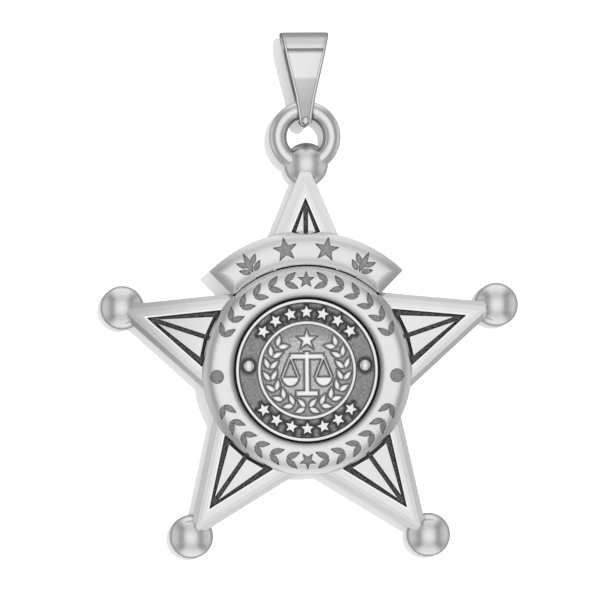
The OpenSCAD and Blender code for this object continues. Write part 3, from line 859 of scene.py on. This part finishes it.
def hanging_ring():
    """The wire ring, with a fine groove round its upper outer side painted dark, a painted reflection, and
    painted shade on its inner side and beside the bail.
    """
    turns, sides = 160, 96
    u = np.linspace(0, 2 * math.pi, turns, endpoint=False)
    v = np.linspace(0, 2 * math.pi, sides, endpoint=False)
    u, v = np.meshgrid(u, v, indexing="ij")
    line = np.exp(-((np.degrees(v) - LINE_PLACE) / LINE_SPREAD) ** 2)
    wire = WIRE_RADIUS - LINE_DEPTH * line
    reach = RING_RADIUS + wire * np.cos(v)
    vertices = np.stack([reach * np.cos(u), RING_Y + reach * np.sin(u), RING_Z + wire * np.sin(v)], -1)
    faces = grid_faces(turns, sides, wrap_rows=True, wrap_columns=True)
    obj = new_object("ring_wire", vertices.reshape(-1, 3), faces.tolist(), materials=[wire_silver])
    # Painted shade on the wire's inner side and beside the bail; the line is a painted reflection.
    inward = smooth_step(0.62, 0.95, -np.cos(v))
    set_attribute(obj, "patina_and_shade", 0.5 * line + 0.5 * inward)
    beside_bail = np.exp(-((np.degrees(u) - 90) / 36) ** 2)
    set_attribute(obj, "shade", 0.3 * inward + 0.5 * beside_bail * smooth_step(0.1, 0.6, -np.cos(v)))
    return obj


def bail_side(inset):
    """The folded strip's side outline as (y, z) points, from the loop's top round to it again."""
    bend = STRIP * 1.5 - inset / 2
    lean = (LOOP_RADIUS - FOOT_DEPTH) / BAIL_BEND
    foot = FOOT_END + inset + bend
    low = LOOP_RADIUS - lean * (BAIL_BEND - foot) - inset
    high = LOOP_RADIUS - inset
    points = arc((BAIL_LENGTH, 0), high, 0, 90, 60)
    points += [(BAIL_LENGTH + (BAIL_BEND - BAIL_LENGTH) * s, high) for s in np.linspace(0, 1, 40)[1:]]
    points += [(BAIL_BEND + (foot - BAIL_BEND) * s, high + (low - high) * s)
               for s in np.linspace(0, 1, 20)[1:]]
    points += arc((foot, low - bend), bend, 90, 180, 16)[1:]
    points += [(FOOT_END + inset, (low - bend) * (1 - s)) for s in np.linspace(0, 1, 5)[1:]]
    back = [(y, -z) for y, z in points[-2:0:-1]]
    return np.array(points + back)


def bail_half_width(y):
    """Half the strip's width at a height above the pivot, rounded off at the tip."""
    height = BAIL_LENGTH + LOOP_RADIUS - FOOT_END
    widening = BAIL_TOP_HALF - BAIL_FOOT_HALF
    round_y = FOOT_END + BAIL_TIP_RADIUS
    shares = np.array(BAIL_WIDTHS)
    known_y = np.concatenate([[round_y], FOOT_END + shares[:, 0] * height])
    known_w = np.concatenate([[BAIL_TIP_RADIUS], BAIL_FOOT_HALF + shares[:, 1] * widening])
    straight = np.interp(y, known_y, known_w)
    rounded = np.sqrt(np.clip(BAIL_TIP_RADIUS ** 2 - (y - round_y) ** 2, 0, None))
    return np.where(y < round_y, rounded, straight)


# Across the strip's outer face: distance from its edge, depth below the face and how much painted shade it
# gets.
BAIL_ACROSS = ((0.0, 0.07, 0.8), (0.04, 0.03, 0.6), (0.07, 0.008, 0.05), (0.14, 0.004, 0.0),
               (0.165, 0.014, 0.16), (0.185, 0.004, 0.05), (0.21, 0.0, 0.0))
# Width of the border along each side of the face
BAIL_BORDER = 0.15


def bail_marks(y, z):
    """At a place along the strip's outer side: the crease, the painted shade on the tip and over the loop,
    and the painted shade on the front's lower part."""
    front = z > 0
    above = y - BAIL_LENGTH
    # The crease, the tip and the loop's top get painted shade, and the front below the bend is darker, also
    # painted shade.
    crease = smooth_step(-0.3, -0.02, above) if above <= 0 else smooth_step(0.08, 0.0, above)
    tip = smooth_step(FOOT_END + 0.12, FOOT_END + 0.01, y) * (z > 0.75 * FOOT_DEPTH)
    over = smooth_step(0.5 * LOOP_RADIUS, 0.8 * LOOP_RADIUS, above)
    low = smooth_step(BAIL_BEND + 0.03, BAIL_BEND - 0.05, y)
    low *= min(0.4 + 0.5 * (BAIL_BEND - y) / (BAIL_BEND - FOOT_END), 0.68)
    return float(crease * front), float(max(0.85 * tip, 0.58 * over)), float(low * front)


def bail():
    """The folded strip with its bordered face and the crease under its loop."""
    outer, inner = bail_side(0.0), bail_side(STRIP)
    sections, painted_shade_rows, shades = [], [], []
    for o, i in zip(outer, inner):
        crease, darkest, low = bail_marks(*o)
        extra = BACK_EXTRA * float(smooth_step(0.3, -0.5, o[1]) * smooth_step(0.0, 1.0, o[0]))
        wide_o, wide_i = bail_half_width(o[0]) + extra, bail_half_width(i[0]) + extra
        line, patina_and_shade, shade = [], [], []
        for sign in (-1, 1):
            row = []
            for inward, depth, dark in BAIL_ACROSS:
                on_face = inward > BAIL_BORDER
                share = (depth + CREASE_SINK * crease * on_face) / STRIP
                place = (sign * max(wide_o - inward, 0.0), *(o + (i - o) * share))
                # The edge lines, the crease, the tip and the loop get painted shade; the lower front gets the
                # shade mask.
                row.append((place, max(dark, 0.72 * crease * on_face, darkest), low * on_face))
            row = row if sign < 0 else row[::-1]
            line += [r[0] for r in row]
            patina_and_shade += [r[1] for r in row]
            shade += [r[2] for r in row]
        for sign, order in ((1, 1), (-1, -1)):
            row = [(sign * (wide_o + (wide_i - wide_o) * 0.8), 0.8), (sign * max(wide_i - 0.06, 0.0), 1.0)]
            for w, share in row[::order]:
                line.append((w, *(o + (i - o) * share)))
                patina_and_shade.append(0.0)
                shade.append(0.0)
        sections.append(line)
        painted_shade_rows.append(patina_and_shade)
        shades.append(shade)
    sections = np.array(sections)
    rows, columns = sections.shape[:2]
    faces = grid_faces(rows, columns, wrap_rows=True, wrap_columns=True)
    obj = new_object("bail_strip", sections.reshape(-1, 3), faces.tolist(), materials=[strip_silver])
    set_attribute(obj, "patina_and_shade", painted_shade_rows)
    set_attribute(obj, "shade", shades)
    obj.data.set_sharp_from_angle(angle=math.radians(38))
    return obj


def bead():
    """The small bead that closes the strip at its tip."""
    rows, columns = 16, 40
    a = np.linspace(-math.pi / 2, math.pi / 2, rows)
    b = np.linspace(0, 2 * math.pi, columns, endpoint=False)
    a, b = np.meshgrid(a, b, indexing="ij")
    y = FOOT_END + BAIL_TIP_RADIUS
    z = FOOT_DEPTH - BEAD_RADIUS * 0.3
    reach = BEAD_RADIUS * np.cos(a)
    vertices = np.stack([reach * np.cos(b), y + reach * np.sin(b), z + BEAD_RADIUS * np.sin(a)], -1)
    vertices = vertices.reshape(-1, 3)
    faces = grid_faces(rows, columns, wrap_columns=True)
    obj = new_object("bail_bead", vertices, faces.tolist(), materials=[bead_silver])
    # Painted shade round the bead's sides.
    set_attribute(obj, "patina_and_shade", 0.85 * smooth_step(0.72, 0.95, np.cos(a)))
    return obj


def place_on_ring(obj):
    """Moves a piece of the bail from its own frame to the place where it lies on the ring."""
    place = (Matrix.Translation(Vector(PIVOT) * MM)
             @ Matrix.Rotation(math.radians(BAIL_LIFT), 4, "X")
             @ Matrix.Rotation(math.radians(BAIL_TURN), 4, "Y"))
    obj.data.transform(place)
    return obj


def dress(obj, body, node):
    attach(obj, body)
    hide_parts(node)


dress(star_plate(), "badge", "star")
dress(ball_tips(), "badge", "star")
dress(banner(), "badge", "banner")
dress(medallion(), "badge", "medallion")
dress(seal_ring(), "badge", "seal")
dress(seal_centre(), "badge", "seal")
dress(hanging_ring(), "badge", "hanging_ring")
dress(place_on_ring(bail()), "bail", "bail")
dress(place_on_ring(bead()), "bail", "bail")


# Floor, light and camera

def floor():
    """A pale light table, which glows a little and so keeps the shadows soft."""
    half = 600.0
    corners = [(-half, -half, 0), (half, -half, 0), (half, half, 0), (-half, half, 0)]
    obj = new_object("floor", corners, [(0, 1, 2, 3)], smooth=False)
    material = bpy.data.materials.new("pale floor")
    material.use_nodes = True
    shader = material.node_tree.nodes["Principled BSDF"]
    shader.inputs["Base Color"].default_value = (0.86, 0.86, 0.86, 1)
    shader.inputs["Roughness"].default_value = 0.9
    shader.inputs["Specular IOR Level"].default_value = 0.0
    shader.inputs["Emission Color"].default_value = (1, 1, 1, 1)
    shader.inputs["Emission Strength"].default_value = 0.25
    obj.data.materials.append(material)
    obj.visible_glossy = False


def sun(name, energy, angle, tilt, heading):
    """A light for the floor and its shadow. The silver reflects the dome alone."""
    light = bpy.data.lights.new(name, "SUN")
    light.energy = energy
    light.angle = math.radians(angle)
    obj = bpy.data.objects.new(name, light)
    bpy.context.scene.collection.objects.link(obj)
    tilt, heading = math.radians(tilt), math.radians(heading)
    way = Vector((math.sin(tilt) * math.cos(heading), math.sin(tilt) * math.sin(heading), math.cos(tilt)))
    obj.rotation_euler = way.to_track_quat("Z", "Y").to_euler()
    obj.visible_glossy = False


# The studio's dome: its tone at each height in degrees above the horizon, and below it.
DOME_TONES = ((-90, 0.1), (-58, 0.36), (-30, 0.47), (0, 0.37), (24, 0.34), (44, 0.56), (62, 0.82), (90, 0.95))
# Long lights along two sides: heading, half width from full to none, lowest and highest
# heights from none to full and from full to none, and what they add. Degrees.
LONG_LIGHTS = (
    (90, 12, 46, -62, -22, 6, 62, 0.47),
    (0, 8, 40, -48, -14, 4, 40, 0.24),
    (0, 8, 42, 26, 40, 50, 70, -0.13),
)


def studio_dome():
    world = bpy.data.worlds.new("studio dome")
    bpy.context.scene.world = world
    world.use_nodes = True
    tree = world.node_tree
    back = tree.nodes["Background"]
    way = add_node(tree, "ShaderNodeTexCoord").outputs["Generated"]
    way = add_node(tree, "ShaderNodeVectorMath", {0: way}, operation="NORMALIZE").outputs[0]
    x, y, z = add_node(tree, "ShaderNodeSeparateXYZ", {0: way}).outputs
    height = calc(tree, "DEGREES", calc(tree, "ARCSINE", z))
    flat = calc(tree, "SQRT", calc(tree, "SUBTRACT", 1.0, calc(tree, "MULTIPLY", z, z)))
    flat = calc(tree, "MAXIMUM", flat, 0.001)

    ramp = add_node(tree, "ShaderNodeValToRGB", {0: spread_value(tree, height, -90, 90)}).color_ramp
    ramp.interpolation = "EASE"
    node = tree.nodes[-1]
    stops = [((h + 90) / 180, tone) for h, tone in DOME_TONES]
    while len(ramp.elements) < len(stops):
        ramp.elements.new(0.5)
    for element, (place, tone) in zip(ramp.elements, stops):
        element.position = place
        element.color = (tone, tone, tone, 1)
    level = node.outputs[0]
    for heading, full, none, low_none, low_full, high_full, high_none, gain in LONG_LIGHTS:
        h = math.radians(heading)
        along = calc(tree, "ADD", calc(tree, "MULTIPLY", x, math.cos(h)),
                     calc(tree, "MULTIPLY", y, math.sin(h)))
        along = calc(tree, "DIVIDE", calc(tree, "ABSOLUTE", along), flat)
        side = spread_value(tree, along, math.cos(math.radians(none)), math.cos(math.radians(full)),
                            smooth=True)
        above = spread_value(tree, height, low_none, low_full, smooth=True)
        below = spread_value(tree, height, high_full, high_none, 1.0, 0.0, smooth=True)
        light = calc(tree, "MULTIPLY", calc(tree, "MULTIPLY", side, above),
                     calc(tree, "MULTIPLY", below, gain))
        level = calc(tree, "ADD", level, light)
    seen = add_node(tree, "ShaderNodeLightPath").outputs["Is Camera Ray"]
    level = mix_value(tree, seen, level, 1.0)
    colour = add_node(tree, "ShaderNodeCombineColor", {0: level, 1: level, 2: level}).outputs[0]
    tree.links.new(colour, back.inputs["Color"])


def camera():
    data = bpy.data.cameras.new("camera")
    data.lens = 200
    data.sensor_width = 36
    data.clip_start = 0.01
    obj = bpy.data.objects.new("camera", data)
    bpy.context.scene.collection.objects.link(obj)
    obj.location = Vector(CAMERA_PLACE) * MM
    obj.rotation_euler = (0, 0, math.radians(CAMERA_ROLL))
    bpy.context.scene.camera = obj


floor()
sun("key", 2.4, 1.2, 20, 35)
sun("fill", 0.3, 40, 0, 0)
studio_dome()
camera()
bpy.context.scene.view_settings.view_transform = "Standard"
bpy.context.scene.view_settings.look = "None"
